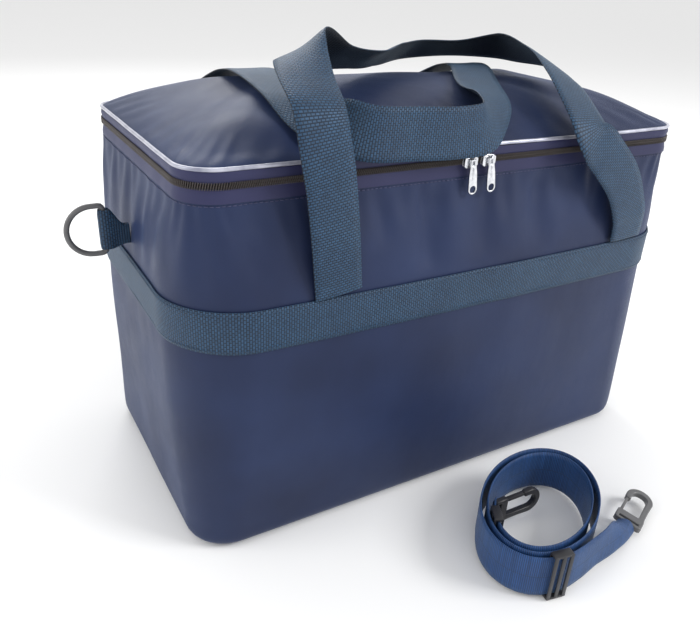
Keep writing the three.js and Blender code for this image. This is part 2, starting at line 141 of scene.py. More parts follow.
class Nodes:
    """A short way to build a material's node tree."""

    def __init__(self, name):
        self.material = bpy.data.materials.new(name)
        self.material.use_nodes = True
        self.tree = self.material.node_tree
        self.shader = self.tree.nodes["Principled BSDF"]

    def add(self, kind, **values):
        node = self.tree.nodes.new(kind)
        for key, value in values.items():
            if key in node.inputs:
                node.inputs[key].default_value = value
            else:
                setattr(node, key, value)
        return node

    def link(self, source, target):
        self.tree.links.new(source, target)

    def ramp(self, factor, stops):
        node = self.add("ShaderNodeValToRGB")
        elements = node.color_ramp.elements
        elements[0].position, elements[0].color = stops[0][0], (*stops[0][1], 1)
        elements[1].position, elements[1].color = stops[-1][0], (*stops[-1][1], 1)
        for position, colour in stops[1:-1]:
            elements.new(position).color = (*colour, 1)
        self.link(factor, node.inputs["Fac"])
        return node.outputs["Color"]

    def math(self, operation, first, second):
        node = self.add("ShaderNodeMath", operation=operation)
        for socket, value in zip(node.inputs, (first, second)):
            if isinstance(value, (int, float)):
                socket.default_value = value
            else:
                self.link(value, socket)
        return node.outputs[0]

    def noise(self, scale, detail=3.0, vector=None, stretch=None):
        node = self.add("ShaderNodeTexNoise", Scale=scale, Detail=detail)
        if vector is None:
            vector = self.add("ShaderNodeTexCoord").outputs["Object"]
        if stretch:
            mapping = self.add("ShaderNodeMapping")
            mapping.inputs["Scale"].default_value = stretch
            self.link(vector, mapping.inputs["Vector"])
            vector = mapping.outputs["Vector"]
        self.link(vector, node.inputs["Vector"])
        return node.outputs["Fac"]

    def bump(self, height, distance, strength=1.0, normal=None):
        node = self.add("ShaderNodeBump", Strength=strength, Distance=distance)
        self.link(height, node.inputs["Height"])
        if normal is not None:
            self.link(normal, node.inputs["Normal"])
        return node.outputs["Normal"]

    def finish(self, colour=None, roughness=None, normal=None, **sockets):
        for socket, value in (("Base Color", colour), ("Roughness", roughness), ("Normal", normal)):
            if value is None:
                continue
            if isinstance(value, (int, float)):
                self.shader.inputs[socket].default_value = value
            elif isinstance(value, tuple):
                self.shader.inputs[socket].default_value = (*value, 1)
            else:
                self.link(value, self.shader.inputs[socket])
        for socket, value in sockets.items():
            self.shader.inputs[socket.replace("_", " ")].default_value = value
        return self.material


def woven_cloth(name, dark, light, thread=0.0005):
    """Plain-woven polyester: fine threads both ways, soft sheen and slow changes of shade."""
    n = Nodes(name)
    position = n.add("ShaderNodeTexCoord").outputs["Object"]
    split = n.add("ShaderNodeSeparateXYZ")
    n.link(position, split.inputs["Vector"])
    level = n.math("ADD", split.outputs["X"], split.outputs["Y"])
    turns = 2 * math.pi / thread
    weft = n.math("SINE", n.math("MULTIPLY", split.outputs["Z"], turns), 0)
    warp = n.math("SINE", n.math("MULTIPLY", level, turns), 0)
    weave = n.math("MULTIPLY", weft, warp)
    slub = n.noise(900, 2, position, (1, 1, 6))
    height = n.math("ADD", n.math("MULTIPLY", weave, 0.5), slub)
    shade = n.ramp(n.noise(9, 4, position), [(0.3, dark), (0.7, light)])
    rough = n.math("ADD", n.math("MULTIPLY", n.noise(60, 3, position), 0.16), 0.4)
    ripple = n.bump(n.noise(55, 4, position, (1, 1, 0.35)), 0.0006, 0.6)
    normal = n.bump(height, 0.00006, 0.5, ripple)
    return n.finish(
        shade, rough, normal, Sheen_Weight=0.12, Sheen_Roughness=0.4,
        Sheen_Tint=(0.45, 0.6, 1, 1), Specular_IOR_Level=0.24,
    )


def ribbed_webbing(name, gap, cell, across=0.0029, along=0.0018, offset=0.5):
    """Webbing woven in short cells laid across its width, in staggered rows along its length."""
    n = Nodes(name)
    uv = n.add("ShaderNodeUVMap", uv_map="UVMap").outputs["UV"]
    brick = n.add(
        "ShaderNodeTexBrick", Scale=1.0, offset=offset, squash=1.0,
    )
    brick.inputs["Brick Width"].default_value = across
    brick.inputs["Row Height"].default_value = along
    brick.inputs["Mortar Size"].default_value = along * 0.3
    brick.inputs["Mortar Smooth"].default_value = 1.0
    brick.inputs["Color1"].default_value = (*cell, 1)
    brick.inputs["Color2"].default_value = (*(0.72 * c for c in cell), 1)
    brick.inputs["Mortar"].default_value = (*gap, 1)
    n.link(uv, brick.inputs["Vector"])
    fade = n.add("ShaderNodeMix", data_type="RGBA", blend_type="MULTIPLY")
    fade.inputs["Factor"].default_value = 1.0
    shade = n.ramp(n.noise(40, 3), [(0.3, (0.78, 0.8, 0.85)), (0.7, (1, 1, 1))])
    n.link(brick.outputs["Color"], fade.inputs["A"])
    n.link(shade, fade.inputs["B"])
    raised = n.math("SUBTRACT", 1.0, brick.outputs["Fac"])
    normal = n.bump(raised, 0.0003, 0.8)
    return n.finish(
        fade.outputs["Result"], 0.5, normal, Sheen_Weight=0.1, Sheen_Roughness=0.35,
        Sheen_Tint=(0.5, 0.75, 1, 1), Specular_IOR_Level=0.35,
    )


def moulded_plastic(name, colour, roughness):
    n = Nodes(name)
    shade = n.ramp(n.noise(120, 4), [(0.35, tuple(0.8 * c for c in colour)), (0.7, colour)])
    rough = n.math("ADD", n.math("MULTIPLY", n.noise(400, 3), 0.2), roughness - 0.1)
    normal = n.bump(n.noise(1500, 3), 0.00005, 0.4)
    return n.finish(shade, rough, normal)


def polished_metal(name):
    n = Nodes(name)
    shade = n.ramp(n.noise(300, 3), [(0.3, (0.46, 0.47, 0.5)), (0.7, (0.68, 0.69, 0.72))])
    rough = n.math("ADD", n.math("MULTIPLY", n.noise(700, 4), 0.2), 0.12)
    normal = n.bump(n.noise(900, 3), 0.00004, 0.3)
    return n.finish(shade, rough, normal, Metallic=1.0)


def glossy_piping():
    n = Nodes("piping")
    shade = n.ramp(n.noise(70, 4), [(0.3, (0.24, 0.25, 0.33)), (0.65, (0.52, 0.53, 0.62))])
    normal = n.bump(n.noise(260, 3), 0.0002, 0.5)
    return n.finish(shade, 0.28, normal, Coat_Weight=0.5, Coat_Roughness=0.15, Metallic=0.25)


def liner_film():
    """Silver film with a small embossed grid."""
    n = Nodes("liner")
    position = n.add("ShaderNodeTexCoord").outputs["Object"]
    split = n.add("ShaderNodeSeparateXYZ")
    n.link(position, split.inputs["Vector"])
    turns = 2 * math.pi / 0.006
    level = n.math("ADD", split.outputs["X"], split.outputs["Y"])
    first = n.math("SINE", n.math("MULTIPLY", level, turns), 0)
    second = n.math("SINE", n.math("MULTIPLY", split.outputs["Z"], turns), 0)
    grid = n.math("MULTIPLY", first, second)
    shade = n.ramp(n.noise(14, 4, position), [(0.3, (0.5, 0.51, 0.53)), (0.7, (0.72, 0.73, 0.75))])
    crumple = n.bump(n.noise(28, 5, position), 0.002, 0.5)
    return n.finish(shade, 0.3, n.bump(grid, 0.0004, 0.5, crumple), Metallic=0.7)


MATERIALS = {
    "nylon": woven_cloth("nylon", (0.009, 0.015, 0.046), (0.017, 0.030, 0.086)),
    "zip_tape": woven_cloth("zip_tape", (0.020, 0.021, 0.062), (0.030, 0.032, 0.088), 0.0008),
    "binding": woven_cloth("binding", (0.008, 0.008, 0.010), (0.018, 0.018, 0.022), 0.0008),
    "webbing": ribbed_webbing("webbing", (0.003, 0.008, 0.022), (0.030, 0.085, 0.165)),
    # painted shade: a darker copy of the webbing, put on the handles' inner faces where shade falls
    "webbing_painted_shade": ribbed_webbing("webbing_painted_shade", (0.002, 0.004, 0.008), (0.010, 0.014, 0.022)),
    "strap_webbing": ribbed_webbing(
        "strap_webbing", (0.006, 0.018, 0.060), (0.026, 0.090, 0.260), 0.05, 0.0014, 0.0
    ),
    "zip_teeth": moulded_plastic("zip_teeth", (0.055, 0.045, 0.042), 0.4),
    "plastic_black": moulded_plastic("plastic_black", (0.022, 0.022, 0.026), 0.35),
    "plastic_grey": moulded_plastic("plastic_grey", (0.13, 0.13, 0.135), 0.35),
    "nickel": polished_metal("nickel"),
    "piping": glossy_piping(),
    "liner": liner_film(),
    "thread": moulded_plastic("thread", (0.05, 0.055, 0.13), 0.6),
    "thread_teal": moulded_plastic("thread_teal", (0.02, 0.05, 0.1), 0.6),
}

# ---- Mesh helpers -------------------------------------------------------------------------


def make_object(name, verts, faces, slot, body, uvs=None, smooth=True, look=None):
    """A mesh object with its material, riding on a body. uvs are one (u, v) per vertex."""
    mesh = bpy.data.meshes.new(name)
    mesh.from_pydata([tuple(v) for v in verts], [], [tuple(f) for f in faces])
    if uvs is not None:
        layer = mesh.uv_layers.new(name="UVMap")
        corners = np.empty(len(mesh.loops), dtype=np.int32)
        mesh.loops.foreach_get("vertex_index", corners)
        layer.data.foreach_set("uv", np.asarray(uvs, dtype=np.float32)[corners].ravel())
    mesh.materials.append(MATERIALS[look or slot])
    mesh.polygons.foreach_set("use_smooth", [smooth] * len(mesh.polygons))
    mesh.update()
    obj = bpy.data.objects.new(name, mesh)
    bpy.context.scene.collection.objects.link(obj)
    if body:
        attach(obj, body)
    return obj


def grid_faces(rows, columns, joined=False):
    """Quads of a grid of points stored row by row; joined closes each row on itself."""
    last = columns if joined else columns - 1
    return [
        (
            i * columns + j,
            i * columns + (j + 1) % columns,
            (i + 1) * columns + (j + 1) % columns,
            (i + 1) * columns + j,
        )
        for i in range(rows - 1)
        for j in range(last)
    ]


def catmull_rom(stations, count):
    """count rows of values, evenly spaced along a smooth curve through the stations."""
    points = np.asarray(stations, dtype=float)
    padded = np.vstack([2 * points[0] - points[1], points, 2 * points[-1] - points[-2]])

    def at(parameters):
        k = np.minimum(parameters.astype(int), len(points) - 2)
        f = (parameters - k)[:, None]
        a, b, c, d = padded[k], padded[k + 1], padded[k + 2], padded[k + 3]
        return 0.5 * (
            2 * b + (c - a) * f + (2 * a - 5 * b + 4 * c - d) * f ** 2
            + (3 * b - a - 3 * c + d) * f ** 3
        )

    fine = np.linspace(0, len(points) - 1, 40 * len(points))
    lengths = np.linalg.norm(np.diff(at(fine)[:, :3], axis=0), axis=1)
    travelled = np.concatenate([[0], np.cumsum(lengths)])
    wanted = np.linspace(0, travelled[-1], count)
    return at(np.interp(wanted, travelled, fine)), wanted


def noise_at(point, scale, seed=0.0):
    return noise.noise(Vector(point) * scale + Vector((seed, 2 * seed, -seed)))


# ---- The bag's outline --------------------------------------------------------------------

# Height, how far the wall stands out beyond the piping, and the corner radius.
WALL_LEVELS = np.array([
    (0, 3, 30), (14, 7, 34), (90, 9, 46), (166, 9, 52), (198, 9, 52), (236, 5, 40), (267.6, 0, 26),
    (310, 0, 26),
]) * MM
LEVEL_TABLE = catmull_rom(WALL_LEVELS, 400)[0]

# Places along the outline are measured on this one: half width, half depth and corner radius.
REFERENCE = (HALF_WIDTH + WAIST_BULGE, HALF_DEPTH + WAIST_BULGE, 46 * MM)


def runs(half_width, half_depth, radius):
    """Lengths of the outline's stretches, from the middle of the rear, round by the left."""
    arc = math.pi / 2 * radius
    wide, deep = 2 * (half_width - radius), 2 * (half_depth - radius)
    return [wide / 2, arc, deep, arc, wide, arc, deep, arc, wide / 2]


REFERENCE_ENDS = np.concatenate([[0], np.cumsum(runs(*REFERENCE))])
AROUND = REFERENCE_ENDS[-1]
CORNERS = [(-1, 1, 90), (-1, -1, 180), (1, -1, 270), (1, 1, 0)]


def rounded(u, half_width, half_depth, radius):
    """The point and outward normal of a rounded rectangle at u metres round the outline."""
    k = min(int(np.searchsorted(REFERENCE_ENDS, u, side="right")) - 1, 8)
    k = max(k, 0)
    share = (u - REFERENCE_ENDS[k]) / (REFERENCE_ENDS[k + 1] - REFERENCE_ENDS[k])
    wide, deep = half_width - radius, half_depth - radius
    if k % 2:
        sx, sy, start = CORNERS[(k - 1) // 2]
        angle = math.radians(start + 90 * share)
        nx, ny = math.cos(angle), math.sin(angle)
        return sx * wide + radius * nx, sy * deep + radius * ny, nx, ny
    if k == 0:
        return -wide * share, half_depth, 0.0, 1.0
    if k == 2:
        return -half_width, deep - 2 * deep * share, -1.0, 0.0
    if k == 4:
        return -wide + 2 * wide * share, -half_depth, 0.0, -1.0
    if k == 6:
        return half_width, -deep + 2 * deep * share, 1.0, 0.0
    return wide * (1 - share), half_depth, 0.0, 1.0


def level(z):
    """How far the outline stands out at a height, and its corner radius there."""
    grow = np.interp(z, LEVEL_TABLE[:, 0], LEVEL_TABLE[:, 1])
    radius = np.interp(z, LEVEL_TABLE[:, 0], LEVEL_TABLE[:, 2])
    return grow, radius


def smooth_step(value, low, high):
    """0 below low, 1 above high, and an even curve between."""
    t = min(max((value - low) / (high - low), 0.0), 1.0)
    return t * t * (3 - 2 * t)


def wall_point(u, z, inset=0.0, shape_z=None):
    """A point on the bag's outline at a height, moved inwards by inset, and its normal.

    shape_z is the height whose outline is used, where that isn't the point's own.
    """
    at = z if shape_z is None else shape_z
    grow, radius = level(min(max(at, 0), OUTLINE_TOP))
    half_width, half_depth = HALF_WIDTH + grow - inset, HALF_DEPTH + grow - inset
    x, y, nx, ny = rounded(u, half_width, half_depth, max(radius - inset, 4 * MM))
    swell = FRONT_BOW * smooth_step(at, 0, 0.1) * (1 - smooth_step(at, 0.2, SEAM_Z))
    if ny:
        y += math.copysign(swell * abs(ny) * max(0, 1 - (x / half_width) ** 2), ny)
    return Vector((x, y, z)), Vector((nx, ny, 0))


# Soft vertical folds of the front wall under the zip: x, width and length in metres, and
# depth in millimetres, in the order x, width, depth, length.
FOLDS = [
    (-0.044, 0.012, 2.6, 0.085), (0.003, 0.013, 2.4, 0.075), (0.056, 0.013, 2.2, 0.075),
    (-0.083, 0.009, 1.2, 0.050), (0.026, 0.008, 1.0, 0.045), (0.085, 0.009, 1.2, 0.050),
    (0.122, 0.010, 1.4, 0.060), (-0.176, 0.012, 1.4, 0.070), (0.186, 0.011, 1.3, 0.060),
]
GATHER_PITCH = 17 * MM         # small gathers all round under the zip seam
END_WAVE_PITCH = 30 * MM       # wider waves on the two end walls


def wall_relief(point, normal, u):
    """How far the cloth stands off the smooth wall: slack, folds and small gathers."""
    x, y, z = point
    below = SEAM_Z - z
    relief = 1.5 * MM * noise_at(point, 9, 3.1)
    relief += 0.7 * MM * noise_at((x, y, z * 0.45), 24, 7.7)
    for centre, width, depth, length in FOLDS:
        lean = centre + 0.12 * (below - 0.03) * (1 if centre > 0.04 else -0.2)
        gap = (x - lean) / width
        if normal.y < -0.5 and abs(gap) < 3:
            reach = smooth_step(below, 0.0, 0.02) * (1 - smooth_step(below, length * 0.5, length))
            relief -= 1.7 * depth * MM * math.exp(-gap * gap) * reach
    gather = math.sin(u * 2 * math.pi / GATHER_PITCH + 3 * noise_at((x, y, 0), 30, 1.3))
    at_seam = smooth_step(below, 0.0, 0.006) * (1 - smooth_step(below, 0.01, 0.045))
    relief += 0.45 * MM * gather * at_seam
    if abs(normal.x) > 0.5:
        wave = math.sin(u * 2 * math.pi / END_WAVE_PITCH + 2 * noise_at((x, y, z), 14, 9.2))
        high_up = smooth_step(below, 0.0, 0.03) * (1 - smooth_step(below, 0.03, 0.09))
        relief += 0.8 * MM * wave * high_up
    near_band = 1 - smooth_step(abs(z - (BAND_LOW + BAND_HIGH) / 2), 0.012, 0.03)
    low = smooth_step(z, 0.0, 0.02)
    high = smooth_step(below, 0.0, 0.004)
    return relief * low * high * (1 - 0.75 * near_band) + 0.25 * MM


def wall_surface(u, z, proud=0.0):
    """A point of the outer cloth at a height, proud metres outside it, and its normal."""
    point, normal = wall_point(u, z)
    return point + normal * (wall_relief(point, normal, u) + proud), normal


def steps_round(spacing):
    """Places all round the outline, about spacing apart."""
    return np.arange(int(AROUND / spacing)) * AROUND / int(AROUND / spacing)


def even_steps(z, pitch, start=0.0, end=None):
    """Places along the outline at a height that are truly one pitch apart."""
    fine = np.linspace(start, end or AROUND, 3000)
    points = [wall_point(u, z)[0] for u in fine]
    gaps = [(b - a).length for a, b in zip(points, points[1:])]
    travelled = np.concatenate([[0], np.cumsum(gaps)])
    count = int(travelled[-1] / pitch)
    return np.interp(np.arange(count) * travelled[-1] / count, travelled, fine)


# ---- Bag body -----------------------------------------------------------------------------


def build_body():
    """The outer cloth: one lofted shell from under the base up to the zip seam."""
    round_steps = steps_round(2.6 * MM)
    under = [0.0, 0.35, 0.7, 0.9]
    heights = np.concatenate([
        [0, 1 * MM, 2.5 * MM, 4.5 * MM, 7 * MM, 10 * MM],
        np.linspace(14 * MM, 0.235, 74), np.linspace(0.2375, SEAM_Z - 0.6 * MM, 18), [SEAM_Z],
    ])
    verts, uvs = [], []
    for share in under:
        for u in round_steps:
            point = wall_point(u, 0)[0]
            sag = 0.3 * MM if share < 0.8 else 0
            verts.append((point.x * share, point.y * share, sag))
            uvs.append((u, share * 0.1))
    for z in heights:
        for u in round_steps:
            point, normal = wall_surface(u, z)
            tuck = 4 * MM * (1 - min(z / (10 * MM), 1)) ** 2
            point -= normal * tuck
            if z > SEAM_Z - 0.5 * MM:
                point -= normal * 0.6 * MM
            verts.append(point)
            uvs.append((u, 0.1 + z))
    count = len(round_steps)
    rows = len(under) + len(heights)
    faces = grid_faces(rows, count, joined=True)
    faces.append(tuple(reversed(range(count))))
    shell = make_object("bag_shell", verts, faces, "nylon", "bag", uvs)
    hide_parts("outer_wall", "outer_base")


def build_liner():
    """The silver lining with the foam behind it: walls and floor in one skin."""
    round_steps = steps_round(5 * MM)
    heights = np.concatenate([np.linspace(LINER_TOP, LINER_FLOOR + 3 * MM, 34), [LINER_FLOOR]])
    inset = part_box("outer_wall")[1].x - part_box("liner_wall")[1].x + 0.4 * MM
    verts = []
    for z in heights:
        for u in round_steps:
            point, normal = wall_point(u, z, inset)
            slack = 0.6 * MM * noise_at(point, 22, 5.5)
            verts.append(point - normal * (slack + 0.6 * MM))
    for share in (0.93, 0.6, 0.3):
        for u in round_steps:
            point, normal = wall_point(u, LINER_FLOOR, inset)
            swell = 0.4 * MM * noise_at(point * share, 20, 2.2)
            verts.append((point.x * share, point.y * share, LINER_FLOOR + 0.4 * MM + swell))
    count = len(round_steps)
    faces = grid_faces(len(verts) // count, count, joined=True)
    faces.append(tuple(range(len(verts) - count, len(verts))))
    lining = make_object("liner_skin", verts, faces, "liner", "bag")
    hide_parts("liner_wall", "liner_base", "foam_base", "foam_front", "foam_rear",
                "foam_left", "foam_right")


def tube(points, radius, sides, closed, up=(0, 0, 1)):
    """Vertices and faces of a round tube along points that lie near a plane across up."""
    count = len(points)
    verts = []
    for i, point in enumerate(points):
        ahead = points[(i + 1) % count] if closed or i + 1 < count else point
        behind = points[i - 1] if closed or i else point
        along = (Vector(ahead) - Vector(behind)).normalized()
        side = along.cross(Vector(up)).normalized()
        top = side.cross(along)
        for k in range(sides):
            angle = 2 * math.pi * k / sides
            verts.append(Vector(point) + radius * (math.cos(angle) * side + math.sin(angle) * top))
    faces = grid_faces(count + (1 if closed else 0), sides, joined=True)
    faces = [tuple(v % (count * sides) for v in face) for face in faces]
    return verts, faces


def ribbon_round(spans, slot, name, body, ends):
    """A strip along the mouth's outline from one place to another, riding on body if it has one.

    Each span is (height, distance outside the outline), from the bottom up.
    """
    low, high = ends
    steps = np.linspace(low, high, int((high - low) / (3 * MM)) + 1)
    verts, uvs = [], []
    for height, out in spans:
        for u in steps:
            point, normal = wall_point(u % AROUND, height, 0, OUTLINE_TOP)
            wave = 0.25 * MM * noise_at((point.x, point.y, 0), 35, 6.6)
            verts.append(point + normal * (out + wave))
            uvs.append((u, height))
    return make_object(name, verts, grid_faces(len(spans), len(steps)), slot, body, uvs)


def build_piping():
    """Silver piping all round the lid's edge."""
    points = []
    for u in steps_round(3 * MM):
        point, normal = wall_point(u, PIPING_Z, 0, PIPING_Z)
        dip = 0.5 * MM * noise_at(point, 12, 4.2)
        points.append(point + Vector((0, 0, dip)) + normal * 0.2 * MM * noise_at(point, 30, 8.8))
    verts, faces = tube(points, 0.8 * PIPING_RADIUS, 12, True)
    piping = make_object("lid_piping_cord", verts, faces, "piping", "lid")
    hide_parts("lid_piping")


build_body()
build_liner()
build_piping()

# ---- Lid ----------------------------------------------------------------------------------

LID_RISE = LID_CREST - PIPING_Z - PIPING_RADIUS * 0.3
CREST_INSET = 0.95 * HALF_DEPTH
LID_GATHER_PITCH = 21 * MM     # small gathers all round inside the piping

# Folds of the lid's cloth: from, to and half width in metres, and depth in millimetres.
# A negative depth stands up.
LID_FOLDS = [
    ((-0.006, -0.104), (-0.020, -0.072), 0.006, 1.6), ((0.006, -0.106), (-0.006, -0.066), 0.005, 1.4),
    ((0.024, -0.106), (0.014, -0.060), 0.007, 2.0), ((0.046, -0.106), (0.040, -0.064), 0.007, 1.7),
    ((0.066, -0.104), (0.066, -0.070), 0.006, 1.2),
    ((-0.206, -0.060), (-0.110, -0.094), 0.013, -1.6), ((-0.200, -0.030), (-0.130, -0.012), 0.014, 1.6),
    ((-0.120, -0.090), (-0.060, -0.020), 0.020, 1.8), ((-0.180, 0.050), (-0.090, 0.020), 0.020, -1.4),
    ((0.120, -0.085), (0.070, 0.010), 0.012, 1.6), ((0.160, -0.080), (0.110, 0.020), 0.013, 1.7),
    ((0.195, -0.060), (0.150, 0.030), 0.012, 1.5), ((0.030, -0.040), (0.120, 0.060), 0.020, -1.2),
    ((-0.040, 0.050), (0.030, 0.085), 0.018, 1.3), ((0.205, 0.040), (0.120, 0.070), 0.016, 1.4),
]


def fold_depth(x, y):
    """How far the folds lower the lid's cloth at a point."""
    total = 0.0
    for (ax, ay), (bx, by), width, depth in LID_FOLDS:
        dx, dy = bx - ax, by - ay
        along = ((x - ax) * dx + (y - ay) * dy) / (dx * dx + dy * dy)
        near = min(max(along, 0), 1)
        gap = math.hypot(x - ax - near * dx, y - ay - near * dy) / width
        total += depth * MM * math.exp(-gap * gap) * (0.4 + 0.6 * math.sin(math.pi * near))
    return total


def build_lid():
    """The padded lid: a dome that rises from the piping to a crest along its middle."""
    round_steps = steps_round(3 * MM)
    ridge = HALF_WIDTH - HALF_DEPTH
    shares = 1 - np.cos(np.linspace(0, math.pi / 2, 40))
    verts = []
    for share in shares:
        for u in round_steps:
            edge = wall_point(u, PIPING_Z, 0.8 * MM, PIPING_Z)[0]
            middle = Vector((min(max(edge.x, -ridge), ridge), 0, 0))
            x = edge.x + (middle.x - edge.x) * share
            y = edge.y * (1 - share)
            climb = math.sin(math.pi / 2 * min(share * HALF_DEPTH / CREST_INSET, 1)) ** 0.85
            z = PIPING_Z + PIPING_RADIUS * 0.3 + LID_RISE * climb
            free = smooth_step(share, 0.0, 0.12)
            slack = 2.2 * MM * noise_at((x, y, 0), 8, 11.0) + 0.9 * MM * noise_at((x, y, 0), 21, 2.5)
            gather = math.sin(u * 2 * math.pi / LID_GATHER_PITCH + 3 * noise_at((x, y, 0), 20, 1.7))
            at_edge = smooth_step(share, 0.0, 0.05) * (1 - smooth_step(share, 0.1, 0.3))
            pinch = 0.3 * MM * gather * at_edge
            z += free * (slack - fold_depth(x, y) - 0.6 * MM) + pinch
            verts.append((x, y, z))
    count = len(round_steps)
    faces = grid_faces(len(shares), count, joined=True)
    lid = make_object("lid_cover_cloth", verts, faces, "nylon", "lid")
    edit = bmesh.new()
    edit.from_mesh(lid.data)
    bmesh.ops.remove_doubles(edit, verts=edit.verts, dist=0.3 * MM)
    edit.to_mesh(lid.data)
    edit.free()
    lid.data.polygons.foreach_set("use_smooth", [True] * len(lid.data.polygons))
    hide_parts("lid_cover", "lid_foam")


build_lid()

# ---- Zip ----------------------------------------------------------------------------------

# The zip runs along the front and both ends; the rear edge is a plain strip of cloth.
ZIP_START = float(REFERENCE_ENDS[2] - 0.03)
ZIP_END = float(AROUND - ZIP_START)
TOOTH_PITCH = 1.45 * MM
HINGE_OVERLAP = 4 * MM         # how far the rear strip runs past each end of the zip


def rounded_box(size, bevel, segments=2):
    """Vertices and faces of a box with rounded edges, centred on the origin."""
    shape = bmesh.new()
    bmesh.ops.create_cube(shape, size=1.0)
    bmesh.ops.scale(shape, vec=size, verts=shape.verts)
    bmesh.ops.bevel(
        shape, geom=list(shape.edges), offset=bevel, segments=segments, affect="EDGES", profile=0.5
    )
    verts = [v.co.copy() for v in shape.verts]
    faces = [[v.index for v in face.verts] for face in shape.faces]
    shape.free()
    return verts, faces


def scatter(name, part, places, slot, body, look=None):
    """Copies of one small part, joined into one object. places are 4x4 matrices."""
    part_verts, part_faces = part
    verts, faces = [], []
    for place in places:
        base = len(verts)
        verts.extend(place @ v for v in part_verts)
        faces.extend([base + k for k in face] for face in part_faces)
    return make_object(name, verts, faces, slot, body, look=look)


def outward_frame(point, normal, tilt=0.0):
    """A matrix whose X runs along the outline, Y points inwards and Z points up."""
    along = Vector((-normal.y, normal.x, 0))
    matrix = Matrix((along, -normal, Vector((0, 0, 1)))).transposed().to_4x4()
    return Matrix.Translation(point) @ matrix @ Matrix.Rotation(tilt, 4, "Y")


def build_zip():
    """The zip's two tapes, and a row of teeth on each."""
    ends = (ZIP_START, ZIP_END)
    lower = ribbon_round(
        [(SEAM_Z - 2 * MM, 1.2 * MM), (SEAM_Z + 0.6 * MM, 1.1 * MM), (ZIP_Z - 4.4 * MM, 0.3 * MM),
         (ZIP_Z - 1.5 * MM, 0.1 * MM)],
        "zip_tape", "zip_tape_below", "bag", ends,
    )
    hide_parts("zip_tape_lower")
    upper = ribbon_round(
        [(ZIP_Z + 1.5 * MM, 0.1 * MM), (ZIP_Z + 3.2 * MM, 0.3 * MM), (TAPE_TOP - 2.0 * MM, 0.9 * MM),
         (TAPE_TOP + 0.6 * MM, 0.4 * MM)],
        "zip_tape", "zip_tape_above", "lid", ends,
    )
    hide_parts("zip_tape_upper")
    tooth = rounded_box((0.72 * MM, 1.5 * MM, 2.9 * MM), 0.3 * MM, 1)
    for name, node, body, offset, shift in (
        ("zip_coil_below", "zip_teeth_lower", "bag", -0.95 * MM, 0.0),
        ("zip_coil_above", "zip_teeth_upper", "lid", 0.95 * MM, 0.5),
    ):
        places = []
        for u in even_steps(ZIP_Z, TOOTH_PITCH, ZIP_START, ZIP_END):
            point, normal = wall_point(u + shift * TOOTH_PITCH, ZIP_Z + offset, 0, OUTLINE_TOP)
            places.append(outward_frame(point + normal * 0.6 * MM, normal, 0.3))
        coil = scatter(name, tooth, places, "zip_teeth", body)
        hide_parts(node)


def build_hinge_cloth():
    """The cloth strip that joins the lid's rear edge to the bag."""
    low, high = SEAM_Z - 1 * MM, PIPING_Z - 0.4 * MM
    spans = [(low + (high - low) * k / 9, 0.9 * MM) for k in range(10)]
    strip = ribbon_round(
        spans, "nylon", "rear_hinge_cloth", None,
        (ZIP_END - HINGE_OVERLAP, AROUND + ZIP_START + HINGE_OVERLAP),
    )
    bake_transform(strip)
    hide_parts("rear_fabric_hinge")


build_zip()
build_hinge_cloth()

# ---- Webbing ------------------------------------------------------------------------------

LANES = 8                            # quads across a strip of webbing
SECTION_POINTS = 2 * (LANES + 1)     # points round its section


def webbing_mesh(stations, width, count, thickness=WEBBING, cup=0.0, gather=None):
    """A flat woven strip through stations of (x, y, z, width direction), in metres.

    The section has rounded edges. cup bends the strip across its width. gather is the length
    over which the strip's first end is folded together, and the share of its width left there.
    Returns the vertices, faces, uvs, and the strip's length.
    """
    rows, travelled = catmull_rom(stations, count)
    centres = [Vector(row[:3]) for row in rows]
    section = []
    for k in range(LANES + 1):
        section.append((k / LANES - 0.5, 0.5))
    for k in range(LANES + 1):
        section.append((0.5 - k / LANES, -0.5))
    verts, uvs = [], []
    for i, centre in enumerate(centres):
        ahead, behind = centres[min(i + 1, count - 1)], centres[max(i - 1, 0)]
        along = (ahead - behind).normalized()
        across = Vector(rows[i][3:6])
        across = (across - across.dot(along) * along).normalized()
        face = across.cross(along)
        ripple = 0.35 * MM * noise_at(centre, 30, 4.4)
        left, rise = 1.0, cup
        if gather:
            open_share = smooth_step(travelled[i], 0, gather[0])
            left = gather[1] + (1 - gather[1]) * open_share
            rise = cup + 5 * MM * (1 - open_share)
        for s, t in section:
            edge = 1 - 0.55 * smooth_step(abs(s), 0.44, 0.5)
            bend = rise * (0.25 - s * s) * 4
            lift = t * thickness * edge + bend + ripple
            verts.append(centre + across * (s * width * left) + face * lift)
            uvs.append((s * width, travelled[i]))
    faces = grid_faces(count, len(section), joined=True)
    faces.append(tuple(reversed(range(len(section)))))
    faces.append(tuple(range((count - 1) * len(section), count * len(section))))
    return verts, faces, uvs, travelled[-1]


def stations_mm(table):
    """Stations given in millimetres: a point, then the direction of the strip's width there."""
    return [(x * MM, y * MM, z * MM, a, b, c) for x, y, z, a, b, c in table]


